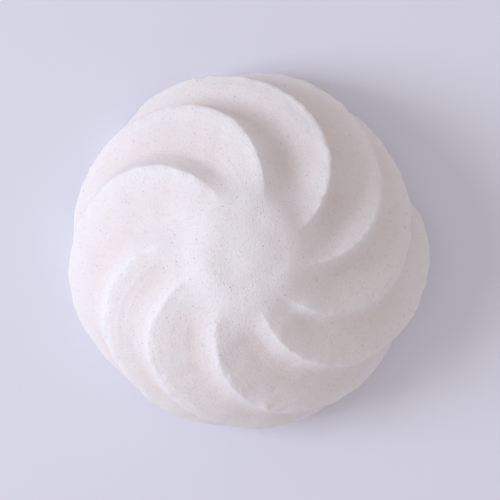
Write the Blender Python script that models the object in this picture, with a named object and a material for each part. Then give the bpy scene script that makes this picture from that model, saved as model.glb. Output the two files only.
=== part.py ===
"""A meringue cookie: one twirl of whipped egg white and sugar, piped through a star nozzle and dried.

Metres, +Z up. The twirl stands on its flat underside, with the middle of its bounding box over
the origin. Its surface is worked out ring by ring, from the top down to the underside.
"""

import math

import bmesh
import bpy

# Overall size
DIAMETER = 0.061
HEIGHT = 0.029

# The smooth dome that the ridges are laid over
WAIST_HEIGHT = 0.0062
UNDERSIDE_SHARE = 0.87
DOME_POWER = 1.1

# The plain soft crown, which falls away between two radii, and the faint nub that the nozzle leaves
CROWN_HEIGHT = 0.0011
CROWN_INNER = 0.0065
CROWN_OUTER = 0.0125
NUB_RADIUS = 0.0035
NUB_HEIGHT = 0.0003
TOP_LEAN = (0.0007, -0.0005)

# Ridges, counter-clockwise: the degrees from each crest to the next at LAYOUT_LEVEL, and beside
# the general run how far the crest sweeps, how deep its valley is and how far its toe reaches
RIDGES = (
    {"arc": 49, "sweep": 1.10, "depth": 1.15, "toe": 0.0005},
    {"arc": 42, "sweep": 0.98, "depth": 0.72, "toe": 0.0002},
    {"arc": 51, "sweep": 0.96, "depth": 0.70, "toe": 0.0005},
    {"arc": 35, "sweep": 1.00, "depth": 0.34, "toe": 0.0},
    {"arc": 40, "sweep": 0.95, "depth": 0.40, "toe": 0.0004},
    {"arc": 41, "sweep": 0.84, "depth": 0.68, "toe": 0.0002},
    {"arc": 30, "sweep": 0.88, "depth": 0.60, "toe": 0.0019},
    {"arc": 36, "sweep": 1.00, "depth": 0.72, "toe": 0.0003},
    {"arc": 36, "sweep": 1.04, "depth": 1.26, "toe": 0.0008},
)
FIRST_CREST = 30.0
LAYOUT_LEVEL = 0.29
RIDGE_DEPTH = 0.0033
VALLEY_PLACE = 0.63
SLOPE_BEND = 1.5
WALL_BEND = 1.8

# Levels between which the ridges grow deep, and between which they turn blunt and shallow
DEPTH_STARTS = 0.18
DEPTH_FULL = 0.40
FOOT_STARTS = 0.45
FOOT_FULL = 1.10
FOOT_DEPTH_SHARE = 0.34
CREST_BLUNTNESS = 0.12
FOOT_BLUNTNESS = 0.6
TOES_START = 0.65
TOE_SHARPNESS = 4

# Twist from the top to the waist: an even part, and a part that gathers towards the rim
EVEN_TWIST = 52.0
RIM_TWIST = 46.0
FOOT_TWIST = 15.0

# Hand-piped unevenness: crests that wander sideways, and an outline that isn't quite round
CREST_WANDER = 2.2
WANDER_FROM_RIDGE_TO_RIDGE = 2.4
WANDER_DOWN_A_RIDGE = 4.0
OVALNESS = -0.007
LOPSIDEDNESS = 0.005
LOPSIDED_WAY = math.radians(-19.0)

# Rings and points
POINTS_PER_RIDGE = 12
CREST_GATHERING = 0.45
DOME_RINGS = 27
FOOT_RINGS = 6


def ease(low, high, value):
    """0 below low, 1 above high and a smooth climb between them."""
    share = min(max((value - low) / (high - low), 0.0), 1.0)
    return share * share * (3.0 - 2.0 * share)


def dome(level):
    """Radius, height and slope of the smooth dome: level 0 is its top, 1 its waist, 2 its underside."""
    if level <= 1.0:
        turn = level * math.pi / 2
        radius = DIAMETER / 2 * math.sin(turn)
        height = WAIST_HEIGHT + (HEIGHT - WAIST_HEIGHT) * math.cos(turn) ** DOME_POWER
        return radius, height, turn
    turn = (level - 1.0) * math.pi / 2
    tuck = (1.0 - UNDERSIDE_SHARE) * (1.0 - math.cos(turn))
    return DIAMETER / 2 * (1.0 - tuck), WAIST_HEIGHT * (1.0 - math.sin(turn)), math.pi / 2


def twist(level):
    """Degrees that the ridges have turned, counter-clockwise, by this level."""
    on_dome = min(level, 1.0)
    below = max(level - 1.0, 0.0)
    return EVEN_TWIST * on_dome + RIM_TWIST * on_dome**3 + FOOT_TWIST * below * (2.0 - below)


def crest_angle(number, level):
    """Degrees round the dome at which this crest lies, at this level."""
    whole_turns, ridge = divmod(number, len(RIDGES))
    laid_out = FIRST_CREST + 360.0 * whole_turns + sum(each["arc"] for each in RIDGES[:ridge])
    turned = (twist(level) - twist(LAYOUT_LEVEL)) * RIDGES[ridge]["sweep"]
    swing = math.sin(WANDER_FROM_RIDGE_TO_RIDGE * ridge + WANDER_DOWN_A_RIDGE * level)
    return laid_out + turned + CREST_WANDER * swing * min(level, 1.0)


def ridge_height(phase, bluntness):
    """1 on the crests at phase 0 and 1, 0 in the valley: a long hollow slope, then a steep one."""
    if phase < VALLEY_PLACE:
        below = 1.0 - (1.0 - phase / VALLEY_PLACE) ** SLOPE_BEND
    else:
        below = 1.0 - ((phase - VALLEY_PLACE) / (1.0 - VALLEY_PLACE)) ** WALL_BEND
    blunted = math.hypot(below, bluntness) - bluntness
    return 1.0 - blunted / (math.hypot(1.0, bluntness) - bluntness)


def ridge_relief(level, ridge, phase):
    """How far a point lies inside the smooth dome, how far its toe takes it out."""
    to_foot = ease(FOOT_STARTS, FOOT_FULL, level)
    rise = ridge_height(phase, CREST_BLUNTNESS + (FOOT_BLUNTNESS - CREST_BLUNTNESS) * to_foot)
    own = RIDGES[ridge]
    nearest = own if phase < VALLEY_PLACE else RIDGES[(ridge + 1) % len(RIDGES)]
    toe = nearest["toe"] * rise**TOE_SHARPNESS * ease(TOES_START, 1.0, level)
    shown = ease(DEPTH_STARTS, DEPTH_FULL, level)
    depth = RIDGE_DEPTH * own["depth"] * shown * (1.0 - (1.0 - FOOT_DEPTH_SHARE) * to_foot)
    return depth * (1.0 - rise), toe


def spoke_phase(spoke):
    """The ridge that this spoke is on, and how far across it, from 0 to 1."""
    ridge, step = divmod(spoke, POINTS_PER_RIDGE)
    even = step / POINTS_PER_RIDGE
    gathered = (1.0 - math.cos(math.pi * even)) / 2
    return ridge, even + CREST_GATHERING * (gathered - even)


def crown(radius):
    """How far the crown and its nub stand over the smooth dome."""
    nub = NUB_HEIGHT * math.exp(-((radius / NUB_RADIUS) ** 2))
    return nub + CROWN_HEIGHT * (1.0 - ease(CROWN_INNER, CROWN_OUTER, radius))


def surface_point(level, spoke):
    """The point of the twirl at this level, on this spoke of the star."""
    ridge, phase = spoke_phase(spoke)
    before = crest_angle(ridge, level)
    after = crest_angle(ridge + 1, level)
    angle = math.radians(before + phase * (after - before))
    radius, height, slope = dome(level)
    inward, toe = ridge_relief(level, ridge, phase)

    oval = 1.0 + OVALNESS * math.cos(2.0 * angle) + LOPSIDEDNESS * math.cos(3.0 * (angle - LOPSIDED_WAY))
    out = (radius - inward * math.sin(slope)) * oval + toe
    up = height + crown(radius) - inward * math.cos(slope)
    lean = (up / HEIGHT) ** 2
    x = out * math.cos(angle) + TOP_LEAN[0] * lean
    y = out * math.sin(angle) + TOP_LEAN[1] * lean
    return x, y, up


def pipe_twirl():
    """The twirl as one closed mesh: a small star on top, drawn out ring by ring to the underside."""
    levels = [(ring + 1) / DOME_RINGS for ring in range(DOME_RINGS)]
    levels += [1.0 + (ring + 1) / FOOT_RINGS for ring in range(FOOT_RINGS)]
    spokes = POINTS_PER_RIDGE * len(RIDGES)

    twirl = bmesh.new()
    spoke_of = twirl.verts.layers.int.new("spoke")
    bmesh.ops.create_circle(twirl, cap_ends=True, cap_tris=True, segments=spokes, radius=NUB_RADIUS)
    rim = [edge for edge in twirl.edges if edge.is_boundary]
    rim_points = {vertex for edge in rim for vertex in edge.verts}
    middle = next(vertex for vertex in twirl.verts if vertex not in rim_points)
    middle.co = surface_point(0.0, 0)
    by_angle = sorted(rim_points, key=lambda vertex: math.atan2(vertex.co.y, vertex.co.x))
    for spoke, vertex in enumerate(by_angle):
        vertex[spoke_of] = spoke
        vertex.co = surface_point(levels[0], spoke)

    for level in levels[1:]:
        drawn_out = bmesh.ops.extrude_edge_only(twirl, edges=rim)["geom"]
        for vertex in drawn_out:
            if isinstance(vertex, bmesh.types.BMVert):
                vertex.co = surface_point(level, vertex[spoke_of])
        rim = [edge for edge in drawn_out if isinstance(edge, bmesh.types.BMEdge) and edge.is_boundary]

    underside = bmesh.ops.extrude_edge_only(twirl, edges=rim)["geom"]
    last_ring = [vertex for vertex in underside if isinstance(vertex, bmesh.types.BMVert)]
    bmesh.ops.pointmerge(twirl, verts=last_ring, merge_co=(0.0, 0.0, 0.0))
    bmesh.ops.recalc_face_normals(twirl, faces=twirl.faces)
    return twirl


def fit_to_size(twirl):
    """Centres the twirl over the origin, standing on z = 0, at its stated diameter and height."""
    xs, ys, zs = zip(*(vertex.co for vertex in twirl.verts))
    middle = ((min(xs) + max(xs)) / 2, (min(ys) + max(ys)) / 2, min(zs))
    bmesh.ops.translate(twirl, verts=twirl.verts, vec=[-value for value in middle])
    across = DIAMETER / max(max(xs) - min(xs), max(ys) - min(ys))
    upright = HEIGHT / (max(zs) - min(zs))
    bmesh.ops.scale(twirl, verts=twirl.verts, vec=(across, across, upright))


def meringue_material():
    """Dried whipped egg white and sugar: matt, and white with a trace of cream."""
    material = bpy.data.materials.new("meringue")
    material.use_nodes = True
    shader = material.node_tree.nodes["Principled BSDF"]
    shader.inputs["Base Color"].default_value = (0.88, 0.85, 0.82, 1.0)
    shader.inputs["Roughness"].default_value = 0.75
    shader.inputs["Metallic"].default_value = 0.0
    return material


def main():
    for old in list(bpy.data.objects):
        bpy.data.objects.remove(old)

    twirl = pipe_twirl()
    fit_to_size(twirl)
    mesh = bpy.data.meshes.new("meringue")
    twirl.to_mesh(mesh)
    twirl.free()
    mesh.shade_smooth()
    mesh.materials.append(meringue_material())
    bpy.context.scene.collection.objects.link(bpy.data.objects.new("meringue", mesh))


main()
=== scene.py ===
"""The looks of a meringue cookie: one white twirl, piped through a star nozzle and oven-dried.

Metres, +Z up. The twirl is drawn out ring by ring over the same dome and ridges as the solid that
it stands for, and then gets what a mould doesn't give: slow waves, piping streaks, torn crests,
burst bubbles and pores.
"""

import math
import random

import bmesh
import bpy
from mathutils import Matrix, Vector, kdtree, noise


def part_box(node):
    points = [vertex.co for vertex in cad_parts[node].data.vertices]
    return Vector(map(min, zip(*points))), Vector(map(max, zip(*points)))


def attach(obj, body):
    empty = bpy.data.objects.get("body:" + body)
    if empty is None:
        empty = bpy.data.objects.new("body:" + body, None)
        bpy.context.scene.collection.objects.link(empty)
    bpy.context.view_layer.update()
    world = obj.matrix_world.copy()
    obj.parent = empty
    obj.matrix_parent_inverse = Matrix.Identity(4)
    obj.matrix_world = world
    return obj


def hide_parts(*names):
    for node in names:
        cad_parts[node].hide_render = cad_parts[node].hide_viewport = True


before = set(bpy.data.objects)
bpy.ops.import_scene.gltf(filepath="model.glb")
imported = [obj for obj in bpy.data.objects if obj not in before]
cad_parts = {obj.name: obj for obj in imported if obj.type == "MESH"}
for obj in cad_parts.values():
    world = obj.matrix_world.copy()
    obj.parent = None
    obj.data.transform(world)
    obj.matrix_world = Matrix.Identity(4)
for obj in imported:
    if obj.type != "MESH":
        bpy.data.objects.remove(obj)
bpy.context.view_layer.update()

bl_info = {
    "name": "Meringue Twirl",
    "version": (1, 0, 0),
    "blender": (4, 5, 0),
    "location": "3D View > Sidebar > Meringue",
    "description": "Pipes a white meringue twirl and sets a plain studio stage round it",
    "category": "Object",
}

MM = 0.001
CAD_LOW, CAD_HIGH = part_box("meringue")
CAD_WIDTH = float(CAD_HIGH[0] - CAD_LOW[0])
CAD_HEIGHT = float(CAD_HIGH[2] - CAD_LOW[2])

# The smooth dome that the ridges are laid over: the height of its waist, the width of its underside
# beside the waist's, how peaked it is, and how far its top leans aside along X and Y
WAIST_HEIGHT = 6.2 * MM
UNDERSIDE_SHARE = 0.87
DOME_POWER = 1.1
TOP_LEAN = (0.7 * MM, -0.5 * MM)

# The plain soft crown, which falls away between two radii, and the faint nub left by the nozzle
CROWN_INNER = 6.5 * MM
CROWN_OUTER = 12.5 * MM
NUB_RADIUS = 3.5 * MM

# Ridges, counter-clockwise. arc is the degrees from a crest to the next at LAYOUT_LEVEL, sweep and
# depth are shares of the general twist and depth, and toe is how far the crest's foot reaches out.
# FIRST_CREST is where the first crest lies, in degrees.
RIDGES = (
    {"arc": 49, "sweep": 1.10, "depth": 1.15, "toe": 0.5 * MM},
    {"arc": 42, "sweep": 0.98, "depth": 0.72, "toe": 0.2 * MM},
    {"arc": 51, "sweep": 0.96, "depth": 0.70, "toe": 0.5 * MM},
    {"arc": 35, "sweep": 1.00, "depth": 0.34, "toe": 0.0 * MM},
    {"arc": 40, "sweep": 0.95, "depth": 0.40, "toe": 0.4 * MM},
    {"arc": 41, "sweep": 0.84, "depth": 0.68, "toe": 0.2 * MM},
    {"arc": 30, "sweep": 0.88, "depth": 0.60, "toe": 1.9 * MM},
    {"arc": 36, "sweep": 1.00, "depth": 0.72, "toe": 0.3 * MM},
    {"arc": 36, "sweep": 1.04, "depth": 1.26, "toe": 0.8 * MM},
)
FIRST_CREST = 30.0
LAYOUT_LEVEL = 0.29

# Across a ridge: where its valley lies, and how hollow the long slope and the short wall are
VALLEY_PLACE = 0.63
SLOPE_BEND = 1.5
WALL_BEND = 1.8

# Levels, from 0 at the top to 1 at the waist and 2 at the underside, between which the ridges
# grow deep, and between which they turn blunt and shallow
DEPTH_STARTS = 0.18
DEPTH_FULL = 0.40
FOOT_STARTS = 0.45
FOOT_FULL = 1.10
FOOT_DEPTH_SHARE = 0.34
CREST_BLUNTNESS = 0.12
FOOT_BLUNTNESS = 0.6

# The level from which the toes reach out, and how closely toes and torn edges keep to the crests
TOES_START = 0.65
TOE_SHARPNESS = 4
EDGE_SHARPNESS = 5

# Twist in degrees: from the top to the waist an even part and a part that gathers towards the
# rim, and below the waist the foot's own
EVEN_TWIST = 52.0
RIM_TWIST = 46.0
FOOT_TWIST = 15.0

# Hand-piped unevenness: crests that wander sideways by a few degrees, and an outline that isn't
# quite round
CREST_WANDER = 2.2
WANDER_FROM_RIDGE_TO_RIDGE = 2.4
WANDER_DOWN_A_RIDGE = 4.0
OVALNESS = -0.007
LOPSIDEDNESS = 0.005
LOPSIDED_WAY = math.radians(-19.0)

# The curl of the nub, where the nozzle turned as it was pulled away
CURL_HEIGHT = 0.25 * MM
CURL_TURN = 1.6
CURL_PLACE = math.radians(-50.0)

# How far from the middle the streaks start to show, and show in full
STREAKS_START = 6.0 * MM
STREAKS_FULL = 24.0 * MM

# Rings and points of the fine surface, and how closely the points gather at the crests
POINTS_PER_RIDGE = 56
CREST_GATHERING = 0.45
DOME_RINGS = 150
FOOT_RINGS = 26
UNDERSIDE_RINGS = 6


def linear_colour(hex_code):
    """An sRGB hex colour, such as "F4EFEA", as linear red, green, blue and alpha."""
    coded = [int(hex_code[place:place + 2], 16) / 255 for place in (0, 2, 4)]
    linear = [
        part / 12.92 if part <= 0.04045 else ((part + 0.055) / 1.055) ** 2.4 for part in coded
    ]
    return (*linear, 1.0)


class MeringueSizes(bpy.types.PropertyGroup):
    """Sizes of the twirl, and how uneven hand, nozzle and oven leave it"""

    diameter: bpy.props.FloatProperty(
        name="Diameter", description="Widest measure over the ridges",
        default=CAD_WIDTH, min=0.01, unit="LENGTH",
    )
    height: bpy.props.FloatProperty(
        name="Height", description="From the underside to the top of the nub",
        default=CAD_HEIGHT, min=0.005, unit="LENGTH",
    )
    ridge_depth: bpy.props.FloatProperty(
        name="Ridge Depth", description="How far the valleys lie under the crests, at mid height",
        default=3.3 * MM, min=0.0, unit="LENGTH",
    )
    crown_height: bpy.props.FloatProperty(
        name="Crown Height", description="How far the plain crown stands over the dome",
        default=1.1 * MM, min=0.0, unit="LENGTH",
    )
    nub_height: bpy.props.FloatProperty(
        name="Nub Height", description="How far the nub stands over the crown",
        default=0.3 * MM, min=0.0, unit="LENGTH",
    )
    wave_depth: bpy.props.FloatProperty(
        name="Wave Depth", description="Slow unevenness of the hand's pressure on the bag",
        default=0.22 * MM, min=0.0, unit="LENGTH",
    )
    streak_depth: bpy.props.FloatProperty(
        name="Streak Depth", description="Fine lines that the nozzle draws along the ridges",
        default=0.075 * MM, min=0.0, unit="LENGTH",
    )
    tear_depth: bpy.props.FloatProperty(
        name="Tear Depth", description="How ragged the crests are where the foam tore",
        default=0.16 * MM, min=0.0, unit="LENGTH",
    )
    bubble_count: bpy.props.IntProperty(
        name="Bubbles", description="Burst air bubbles over the whole surface", default=34, min=0,
    )


class MeringueColours(bpy.types.PropertyGroup):
    """Colours of the dried foam, of its painted shade in the valleys and pinholes, and of the floor
    """

    crest: bpy.props.FloatVectorProperty(
        name="Crests", description="Dried foam where it stands out", subtype="COLOR", size=4,
        default=linear_colour("F7F4F3"), min=0.0, max=1.0,
    )
    # Painted shade: a warmer, darker copy of the foam's colour, laid deep between the ridges where
    # shade falls
    valley: bpy.props.FloatVectorProperty(
        name="Valleys", description="Dried foam deep between the ridges", subtype="COLOR", size=4,
        default=linear_colour("F1E9E6"), min=0.0, max=1.0,
    )
    # Painted shade: a darker colour inside the pinholes, where shade falls in each pit
    pinhole_shade: bpy.props.FloatVectorProperty(
        name="Pinholes", description="Inside of the pinholes in the skin", subtype="COLOR", size=4,
        default=linear_colour("DDD2CE"), min=0.0, max=1.0,
    )
    floor: bpy.props.FloatVectorProperty(
        name="Floor", description="The plain floor of the studio", subtype="COLOR", size=4,
        default=linear_colour("EBEDF6"), min=0.0, max=1.0,
    )


def ease(low, high, value):
    """0 below low, 1 above high and a smooth climb between them."""
    share = min(max((value - low) / (high - low), 0.0), 1.0)
    return share * share * (3.0 - 2.0 * share)


def dome(level, sizes):
    """Radius, height and slope of the dome: level 0 is its top, 1 its waist, 2 its underside."""
    if level <= 1.0:
        turn = level * math.pi / 2
        radius = sizes.diameter / 2 * math.sin(turn)
        height = WAIST_HEIGHT + (sizes.height - WAIST_HEIGHT) * math.cos(turn) ** DOME_POWER
        return radius, height, turn
    turn = (level - 1.0) * math.pi / 2
    tuck = (1.0 - UNDERSIDE_SHARE) * (1.0 - math.cos(turn))
    return sizes.diameter / 2 * (1.0 - tuck), WAIST_HEIGHT * (1.0 - math.sin(turn)), math.pi / 2


def twist(level):
    """Degrees that the ridges have turned, counter-clockwise, by this level."""
    on_dome = min(level, 1.0)
    below = max(level - 1.0, 0.0)
    return EVEN_TWIST * on_dome + RIM_TWIST * on_dome**3 + FOOT_TWIST * below * (2.0 - below)


def crest_angle(number, level):
    """Degrees round the dome at which this crest lies, at this level."""
    whole_turns, ridge = divmod(number, len(RIDGES))
    laid_out = FIRST_CREST + 360.0 * whole_turns + sum(each["arc"] for each in RIDGES[:ridge])
    turned = (twist(level) - twist(LAYOUT_LEVEL)) * RIDGES[ridge]["sweep"]
    swing = math.sin(WANDER_FROM_RIDGE_TO_RIDGE * ridge + WANDER_DOWN_A_RIDGE * level)
    return laid_out + turned + CREST_WANDER * swing * min(level, 1.0)


def ridge_height(phase, bluntness):
    """1 on the crests at phase 0 and 1, 0 in the valley: a long hollow slope, then a steep one."""
    if phase < VALLEY_PLACE:
        below = 1.0 - (1.0 - phase / VALLEY_PLACE) ** SLOPE_BEND
    else:
        below = 1.0 - ((phase - VALLEY_PLACE) / (1.0 - VALLEY_PLACE)) ** WALL_BEND
    blunted = math.hypot(below, bluntness) - bluntness
    return 1.0 - blunted / (math.hypot(1.0, bluntness) - bluntness)


def ridge_relief(level, ridge, phase, sizes):
    """How far a point lies inside the smooth dome and how far its toe takes it out.

    Also how much of it is valley and how much is the edge of a crest, each from 0 to 1.
    """
    to_foot = ease(FOOT_STARTS, FOOT_FULL, level)
    rise = ridge_height(phase, CREST_BLUNTNESS + (FOOT_BLUNTNESS - CREST_BLUNTNESS) * to_foot)
    own = RIDGES[ridge]
    nearest = own if phase < VALLEY_PLACE else RIDGES[(ridge + 1) % len(RIDGES)]
    toe = nearest["toe"] * rise**TOE_SHARPNESS * ease(TOES_START, 1.0, level)
    shown = ease(DEPTH_STARTS, DEPTH_FULL, level)
    depth = sizes.ridge_depth * own["depth"] * shown * (1.0 - (1.0 - FOOT_DEPTH_SHARE) * to_foot)
    return depth * (1.0 - rise), toe, (1.0 - rise) * shown, rise**EDGE_SHARPNESS * shown


def spoke_phase(spoke):
    """The ridge that this spoke is on, and how far across it, from 0 to 1."""
    ridge, step = divmod(spoke, POINTS_PER_RIDGE)
    even = step / POINTS_PER_RIDGE
    gathered = (1.0 - math.cos(math.pi * even)) / 2
    return ridge, even + CREST_GATHERING * (gathered - even)


def crown(radius, angle, sizes):
    """How far the crown and its curled nub stand over the smooth dome."""
    from_nub = radius / NUB_RADIUS
    nub = sizes.nub_height * math.exp(-(from_nub**2))
    plain = sizes.crown_height * (1.0 - ease(CROWN_INNER, CROWN_OUTER, radius))
    turned = angle - CURL_PLACE - CURL_TURN * from_nub
    curl = CURL_HEIGHT * math.cos(turned) * from_nub * math.exp(-(from_nub**2) / 2)
    return nub + plain + curl


def surface_point(level, spoke, sizes):
    """The point at this level, on this spoke of the star, and how much valley and crest it is."""
    ridge, phase = spoke_phase(spoke)
    before = crest_angle(ridge, level)
    after = crest_angle(ridge + 1, level)
    angle = math.radians(before + phase * (after - before))
    radius, height, slope = dome(level, sizes)
    inward, toe, valley, edge = ridge_relief(level, ridge, phase, sizes)

    lopsided = LOPSIDEDNESS * math.cos(3.0 * (angle - LOPSIDED_WAY))
    oval = 1.0 + OVALNESS * math.cos(2.0 * angle) + lopsided
    out = (radius - inward * math.sin(slope)) * oval + toe
    up = height + crown(radius, angle, sizes) - inward * math.cos(slope)
    lean = (up / sizes.height) ** 2
    x = out * math.cos(angle) + TOP_LEAN[0] * lean
    y = out * math.sin(angle) + TOP_LEAN[1] * lean
    return (x, y, up), valley, edge


def draw_out(twirl, rim):
    """Extrudes the open rim once, and returns the new ring of points and the new rim."""
    drawn_out = bmesh.ops.extrude_edge_only(twirl, edges=rim)["geom"]
    ring = [each for each in drawn_out if isinstance(each, bmesh.types.BMVert)]
    edges = [each for each in drawn_out if isinstance(each, bmesh.types.BMEdge)]
    return ring, [edge for edge in edges if edge.is_boundary]


def pipe_rings(sizes):
    """The twirl as one closed mesh: a small star on top, drawn out ring by ring to the underside.

    Each point keeps how much of it is valley and how much is the edge of a crest. It also keeps
    its place in the flow of the foam, which runs straight from the top to the foot, and how
    clearly the streaks of the nozzle are drawn there.
    """
    spokes = POINTS_PER_RIDGE * len(RIDGES)
    levels = [(ring + 1) / DOME_RINGS for ring in range(DOME_RINGS)]
    levels += [1.0 + (ring + 1) / FOOT_RINGS for ring in range(FOOT_RINGS)]

    twirl = bmesh.new()
    spoke_of = twirl.verts.layers.int.new("spoke")
    valley_of = twirl.verts.layers.float.new("valley")
    edge_of = twirl.verts.layers.float.new("edge")
    flow_of = twirl.verts.layers.float_vector.new("flow")
    drawn_of = twirl.verts.layers.float.new("drawn")

    def place(vertex, level):
        spoke = vertex[spoke_of]
        vertex.co, vertex[valley_of], vertex[edge_of] = surface_point(level, spoke, sizes)
        ridge, phase = spoke_phase(spoke)
        way = math.tau * (ridge + phase) / len(RIDGES)
        vertex[flow_of] = (
            sizes.diameter / 2 * math.cos(way),
            sizes.diameter / 2 * math.sin(way),
            sizes.height * level,
        )
        vertex[drawn_of] = ease(STREAKS_START, STREAKS_FULL, vertex.co.xy.length)

    bmesh.ops.create_circle(twirl, cap_ends=True, cap_tris=True, segments=spokes, radius=NUB_RADIUS)
    rim = [edge for edge in twirl.edges if edge.is_boundary]
    rim_points = {vertex for edge in rim for vertex in edge.verts}
    middle = next(vertex for vertex in twirl.verts if vertex not in rim_points)
    place(middle, 0.0)
    by_angle = sorted(rim_points, key=lambda vertex: math.atan2(vertex.co.y, vertex.co.x))
    for spoke, vertex in enumerate(by_angle):
        vertex[spoke_of] = spoke
        place(vertex, levels[0])
    for level in levels[1:]:
        ring, rim = draw_out(twirl, rim)
        for vertex in ring:
            place(vertex, level)

    for steps_left in range(UNDERSIDE_RINGS, 0, -1):
        ring, rim = draw_out(twirl, rim)
        inward = steps_left / (steps_left + 1)
        bmesh.ops.scale(twirl, verts=ring, vec=(inward, inward, 1.0))
    bmesh.ops.pointmerge(twirl, verts=ring, merge_co=(0.0, 0.0, 0.0))
    bmesh.ops.recalc_face_normals(twirl, faces=twirl.faces)
    return twirl


def fit_to_frame(twirl, sizes):
    """Stands the twirl on z = 0 over the origin, at its stated diameter and height."""
    xs, ys, zs = zip(*(vertex.co for vertex in twirl.verts))
    middle = ((min(xs) + max(xs)) / 2, (min(ys) + max(ys)) / 2, min(zs))
    bmesh.ops.translate(twirl, verts=twirl.verts, vec=[-value for value in middle])
    across = sizes.diameter / max(max(xs) - min(xs), max(ys) - min(ys))
    upright = sizes.height / (max(zs) - min(zs))
    bmesh.ops.scale(twirl, verts=twirl.verts, vec=(across, across, upright))


# Slow waves, piping streaks and torn crests, as real lengths, with the dimension, lacunarity and
# octaves of each noise. They fade out over FLOOR_CALM, down to the flat underside.
WAVE_LENGTH = 8.0 * MM
WAVE_NOISE = (1.0, 2.0, 3)
STREAK_WIDTH = 2.6 * MM
STREAK_LENGTH = 30.0 * MM
STREAK_NOISE = (0.9, 2.1, 3)
TEAR_LENGTH = 2.0 * MM
TEAR_NOISE = (0.8, 2.0, 3)
FLOOR_CALM = 0.6 * MM


def uneven_skin(twirl, sizes):
    """Moves the skin in and out: slow waves, streaks of the nozzle, and crests that tore a little.

    Waves and tears move away from the middle of the waist, so that both sides of a thin crest go
    the same way.
    """
    flow_of = twirl.verts.layers.float_vector["flow"]
    drawn_of = twirl.verts.layers.float["drawn"]
    edge_of = twirl.verts.layers.float["edge"]
    middle = Vector((0.0, 0.0, WAIST_HEIGHT))
    twirl.normal_update()
    moves = []
    for vertex in twirl.verts:
        wave = noise.fractal(vertex.co / WAVE_LENGTH, *WAVE_NOISE)
        flow = vertex[flow_of]
        in_flow = Vector((flow.x / STREAK_WIDTH, flow.y / STREAK_WIDTH, flow.z / STREAK_LENGTH))
        streak = noise.fractal(in_flow, *STREAK_NOISE)
        tear = noise.fractal(vertex.co / TEAR_LENGTH, *TEAR_NOISE)
        outward = sizes.wave_depth * wave + sizes.tear_depth * tear * vertex[edge_of]
        move = (vertex.co - middle).normalized() * outward
        move += vertex.normal * sizes.streak_depth * streak * vertex[drawn_of]
        moves.append(move * ease(0.0, FLOOR_CALM, vertex.co.z))
    for vertex, move in zip(twirl.verts, moves):
        vertex.co += move


# Burst bubbles: their heights as shares of the twirl's, their radii, of which the small ones are
# far commoner, and their depths as shares of the radius
BUBBLE_SEED = 5
BUBBLE_HEIGHTS = (0.2, 1.0)
BUBBLE_RADII = (0.3 * MM, 0.6 * MM)
BUBBLE_RARITY = 3
BUBBLE_DEPTHS = (0.21, 0.35)

# A bubble's profile, in shares of its radius and depth
BUBBLE_REACH = 1.8
PIT_STEEPNESS = 1.5
LIP_HEIGHT = 0.12
LIP_PLACE = 1.25
LIP_WIDTH = 0.3


def burst_bubbles(twirl, sizes):
    """Small round pits with a faint lip, most of them tiny, scattered over the dome."""
    draw = random.Random(BUBBLE_SEED)
    twirl.verts.ensure_lookup_table()
    twirl.normal_update()
    tree = kdtree.KDTree(len(twirl.verts))
    for number, vertex in enumerate(twirl.verts):
        tree.insert(vertex.co, number)
    tree.balance()
    least, most = BUBBLE_RADII
    for _ in range(sizes.bubble_count):
        way = draw.uniform(0.0, math.tau)
        reach = sizes.diameter / 2 * math.sqrt(draw.random())
        height = sizes.height * draw.uniform(*BUBBLE_HEIGHTS)
        centre = tree.find((reach * math.cos(way), reach * math.sin(way), height))[0]
        radius = least + (most - least) * draw.random() ** BUBBLE_RARITY
        depth = radius * draw.uniform(*BUBBLE_DEPTHS)
        for _, number, distance in tree.find_range(centre, radius * BUBBLE_REACH):
            vertex = twirl.verts[number]
            away = distance / radius
            pit = math.exp(-(away**4) * PIT_STEEPNESS)
            lip = LIP_HEIGHT * math.exp(-(((away - LIP_PLACE) / LIP_WIDTH) ** 2))
            vertex.co -= vertex.normal * depth * (pit - lip)


def add_node(tree, kind, sockets=None, **settings):
    """Adds a node, sets its options, and fills its sockets: an output is linked, a value is set."""
    node = tree.nodes.new(kind)
    for name, value in settings.items():
        setattr(node, name, value)
    for key, value in (sockets or {}).items():
        if isinstance(value, bpy.types.NodeSocket):
            tree.links.new(value, node.inputs[key])
        else:
            node.inputs[key].default_value = value
    return node


def new_material(name):
    """An empty node material and its output node."""
    material = bpy.data.materials.new(name)
    material.use_nodes = True
    material.node_tree.nodes.clear()
    return material, add_node(material.node_tree, "ShaderNodeOutputMaterial")


# Grain of the dried foam, as real lengths. The sugar's own grain, about 0.1 mm, would be lost in
# the view, so it is drawn coarse enough to show.
PORE_SPACING = 0.55 * MM
PORE_SIZE = 0.154 * MM
PORE_DEPTH = 0.12 * MM
PINHOLE_SPACING = 1.7 * MM
PINHOLE_SIZE = 0.22 * MM
PINHOLE_DEPTH = 0.12 * MM
GRAIN_SIZE = 0.32 * MM
GRAIN_DEPTH = 0.16 * MM
MOTTLE_SIZE = 7.0 * MM
DRY_STREAK_WIDTH = 0.8 * MM
DRY_STREAK_LENGTH = 22.2 * MM
DRY_STREAK_DEPTH = 0.03 * MM

# How much mottled valley turns the foam all to the painted valley shade, the range in which the
# noise of the grain mostly lies, and the roughness of the skin over that range
FULL_VALLEY_SHADE = 0.6
GRAIN_RANGE = (0.3, 0.7)
SKIN_ROUGHNESS = (0.58, 0.74)


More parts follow.
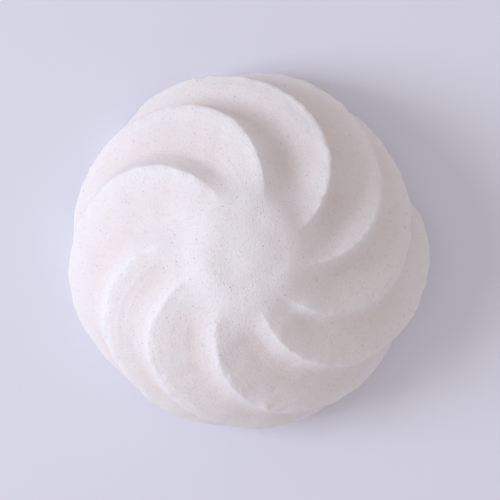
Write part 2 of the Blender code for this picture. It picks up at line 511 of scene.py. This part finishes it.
def dried_meringue(colours):
    """Whipped egg white and sugar, oven-dried: a matt, faintly translucent white foam.

    Drying leaves a skin of fine sugar grain with pinholes, which gives a soft satin edge and no
    mirror; light goes a little way in, so that shades are warm and edges soft. Shade is also
    painted into the valleys and the pinholes as a warmer, darker colour.
    """
    material, output = new_material("dried_meringue")
    tree = material.node_tree
    place = add_node(tree, "ShaderNodeTexCoord").outputs["Object"]
    valley = add_node(tree, "ShaderNodeAttribute", attribute_name="valley").outputs["Fac"]
    flow = add_node(tree, "ShaderNodeAttribute", attribute_name="flow").outputs["Vector"]
    drawn = add_node(tree, "ShaderNodeAttribute", attribute_name="drawn").outputs["Fac"]

    # Painted warm shade in the valleys, in slow mottles: the valley colour stands in for the shade
    # between the ridges
    mottle = add_node(
        tree, "ShaderNodeTexNoise",
        {"Vector": place, "Scale": 1.0 / MOTTLE_SIZE, "Detail": 3.0, "Roughness": 0.6},
    ).outputs["Fac"]
    mottled_valley = add_node(
        tree, "ShaderNodeMath", {0: valley, 1: mottle}, operation="MULTIPLY",
    ).outputs["Value"]
    painted_valley_shade = add_node(
        tree, "ShaderNodeMapRange", {"Value": mottled_valley, "From Max": FULL_VALLEY_SHADE},
    ).outputs["Result"]
    foam_with_valley_shade = add_node(
        tree, "ShaderNodeMix",
        {"Factor": painted_valley_shade, "A": tuple(colours.crest), "B": tuple(colours.valley)},
        data_type="RGBA",
    ).outputs["Result"]

    # Pinholes, with painted shade: a little darker inside, standing in for the shade in each pit
    from_pinhole = add_node(
        tree, "ShaderNodeTexVoronoi", {"Vector": place, "Scale": 1.0 / PINHOLE_SPACING},
    ).outputs["Distance"]
    round_pinholes = add_node(
        tree, "ShaderNodeMapRange",
        {"Value": from_pinhole, "From Max": PINHOLE_SIZE / PINHOLE_SPACING},
        interpolation_type="SMOOTHSTEP",
    ).outputs["Result"]
    colour = add_node(
        tree, "ShaderNodeMix",
        {"Factor": round_pinholes, "A": tuple(colours.pinhole_shade), "B": foam_with_valley_shade},
        data_type="RGBA",
    ).outputs["Result"]

    # Pores, sugar grain and the dry streaks of the nozzle
    from_pore = add_node(
        tree, "ShaderNodeTexVoronoi", {"Vector": place, "Scale": 1.0 / PORE_SPACING},
    ).outputs["Distance"]
    round_pores = add_node(
        tree, "ShaderNodeMapRange",
        {"Value": from_pore, "From Max": PORE_SIZE / PORE_SPACING},
        interpolation_type="SMOOTHSTEP",
    ).outputs["Result"]
    grain = add_node(
        tree, "ShaderNodeTexNoise",
        {"Vector": place, "Scale": 1.0 / GRAIN_SIZE, "Detail": 3.0, "Roughness": 0.65},
    ).outputs["Fac"]
    streak_scale = (1.0 / DRY_STREAK_WIDTH, 1.0 / DRY_STREAK_WIDTH, 1.0 / DRY_STREAK_LENGTH)
    along = add_node(
        tree, "ShaderNodeMapping", {"Vector": flow, "Scale": streak_scale},
    ).outputs["Vector"]
    streaks = add_node(
        tree, "ShaderNodeTexNoise", {"Vector": along, "Scale": 1.0, "Detail": 3.0},
    ).outputs["Fac"]

    # The skin's relief, one kind over another, and its roughness
    pricked = add_node(
        tree, "ShaderNodeBump",
        {"Height": round_pinholes, "Strength": 0.7, "Distance": PINHOLE_DEPTH},
    ).outputs["Normal"]
    pitted = add_node(
        tree, "ShaderNodeBump",
        {"Height": round_pores, "Strength": 0.7, "Distance": PORE_DEPTH, "Normal": pricked},
    ).outputs["Normal"]
    grainy = add_node(
        tree, "ShaderNodeBump",
        {"Height": grain, "Strength": 0.8, "Distance": GRAIN_DEPTH, "Normal": pitted},
    ).outputs["Normal"]
    drawn_skin = add_node(
        tree, "ShaderNodeBump",
        {"Height": streaks, "Strength": drawn, "Distance": DRY_STREAK_DEPTH, "Normal": grainy},
    ).outputs["Normal"]
    roughness = add_node(
        tree, "ShaderNodeMapRange",
        {
            "Value": grain,
            "From Min": GRAIN_RANGE[0],
            "From Max": GRAIN_RANGE[1],
            "To Min": SKIN_ROUGHNESS[0],
            "To Max": SKIN_ROUGHNESS[1],
        },
    ).outputs["Result"]

    shader = add_node(
        tree, "ShaderNodeBsdfPrincipled",
        {
            "Base Color": colour,
            "Roughness": roughness,
            "Metallic": 0.0,
            "IOR": 1.46,
            "Specular IOR Level": 0.35,
            "Subsurface Weight": 0.2,
            "Subsurface Radius": (1.0, 0.82, 0.68),
            "Subsurface Scale": 0.9 * MM,
            "Normal": drawn_skin,
        },
    )
    tree.links.new(shader.outputs["BSDF"], output.inputs["Surface"])
    return material


def studio_card(colours):
    """Matt painted card: a plain floor with no pattern of its own."""
    material, output = new_material("matt_card")
    tree = material.node_tree
    shader = add_node(
        tree, "ShaderNodeBsdfPrincipled",
        {"Base Color": tuple(colours.floor), "Roughness": 0.9, "Specular IOR Level": 0.1},
    )
    tree.links.new(shader.outputs["BSDF"], output.inputs["Surface"])
    return material


def finished_object(name, shape, material):
    """Turns a bmesh into an object of the scene, shaded smooth, with its material."""
    mesh = bpy.data.meshes.new(name)
    shape.to_mesh(mesh)
    shape.free()
    mesh.shade_smooth()
    mesh.materials.append(material)
    thing = bpy.data.objects.new(name, mesh)
    bpy.context.scene.collection.objects.link(thing)
    return thing


class MERINGUE_OT_pipe_twirl(bpy.types.Operator):
    """Pipe the twirl over the solid that it stands for"""

    bl_idname = "meringue.pipe_twirl"
    bl_label = "Pipe Twirl"

    def execute(self, context):
        sizes = context.scene.meringue_sizes
        twirl = pipe_rings(sizes)
        fit_to_frame(twirl, sizes)
        uneven_skin(twirl, sizes)
        burst_bubbles(twirl, sizes)
        material = dried_meringue(context.scene.meringue_colours)
        piece = finished_object("meringue_twirl", twirl, material)
        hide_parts("meringue")
        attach(piece, "root")
        return {"FINISHED"}


# The studio: camera straight above, a soft window of light from the left, pale fill all round.
# VIEW_WIDTH is how much the camera sees across at half the twirl's height.
VIEW_WIDTH = 84.0 * MM
CAMERA_HEIGHT = 0.9
CAMERA_SENSOR = 36.0
FLOOR_SIDE = 3.0
KEY_DISTANCE = 0.9
KEY_SIDE = 0.42
KEY_AZIMUTH = math.radians(181.0)
KEY_ELEVATION = math.radians(33.0)
KEY_POWER = 4.7
KEY_COLOUR = (0.80, 0.85, 1.0)
FILL_COLOUR = (1.0, 0.92, 0.945, 1.0)
FILL_STRENGTH = 0.54


class MERINGUE_OT_set_stage(bpy.types.Operator):
    """Lay the floor, hang the lights and put the camera straight above"""

    bl_idname = "meringue.set_stage"
    bl_label = "Set Stage"

    def execute(self, context):
        scene = context.scene
        card = bmesh.new()
        bmesh.ops.create_grid(card, x_segments=1, y_segments=1, size=FLOOR_SIDE / 2)
        floor = finished_object("floor", card, studio_card(scene.meringue_colours))

        light = bpy.data.lights.new("window", "AREA")
        light.size = KEY_SIDE
        light.energy = KEY_POWER
        light.color = KEY_COLOUR
        window = bpy.data.objects.new("window", light)
        towards = Vector((
            math.cos(KEY_AZIMUTH) * math.cos(KEY_ELEVATION),
            math.sin(KEY_AZIMUTH) * math.cos(KEY_ELEVATION),
            math.sin(KEY_ELEVATION),
        ))
        window.location = towards * KEY_DISTANCE
        window.rotation_euler = towards.to_track_quat("Z", "Y").to_euler()
        scene.collection.objects.link(window)

        world = bpy.data.worlds.new("pale_room")
        world.use_nodes = True
        world.node_tree.nodes["Background"].inputs["Color"].default_value = FILL_COLOUR
        world.node_tree.nodes["Background"].inputs["Strength"].default_value = FILL_STRENGTH
        scene.world = world

        lens = bpy.data.cameras.new("camera")
        lens.sensor_width = CAMERA_SENSOR
        lens.lens = CAMERA_SENSOR * (CAMERA_HEIGHT - CAD_HEIGHT / 2) / VIEW_WIDTH
        camera = bpy.data.objects.new("camera", lens)
        camera.location = (0.0, 0.0, CAMERA_HEIGHT)
        scene.collection.objects.link(camera)
        scene.camera = camera
        scene.view_settings.view_transform = "Standard"
        return {"FINISHED"}


class MERINGUE_PT_twirl(bpy.types.Panel):
    """Sizes, colours and tools of the meringue twirl"""

    bl_idname = "MERINGUE_PT_twirl"
    bl_label = "Meringue Twirl"
    bl_space_type = "VIEW_3D"
    bl_region_type = "UI"
    bl_category = "Meringue"

    def draw(self, context):
        layout = self.layout
        for settings in (context.scene.meringue_sizes, context.scene.meringue_colours):
            box = layout.box()
            for name in settings.__annotations__:
                box.prop(settings, name)
        for operator in (MERINGUE_OT_pipe_twirl, MERINGUE_OT_set_stage):
            layout.operator(operator.bl_idname)


CLASSES = (
    MeringueSizes,
    MeringueColours,
    MERINGUE_OT_pipe_twirl,
    MERINGUE_OT_set_stage,
    MERINGUE_PT_twirl,
)


def register():
    for each in CLASSES:
        bpy.utils.register_class(each)
    bpy.types.Scene.meringue_sizes = bpy.props.PointerProperty(type=MeringueSizes)
    bpy.types.Scene.meringue_colours = bpy.props.PointerProperty(type=MeringueColours)


def unregister():
    del bpy.types.Scene.meringue_colours
    del bpy.types.Scene.meringue_sizes
    for each in reversed(CLASSES):
        bpy.utils.unregister_class(each)


def main():
    """Registers the tools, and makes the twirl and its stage."""
    register()
    bpy.ops.meringue.pipe_twirl()
    bpy.ops.meringue.set_stage()


if __name__ == "__main__":
    main()
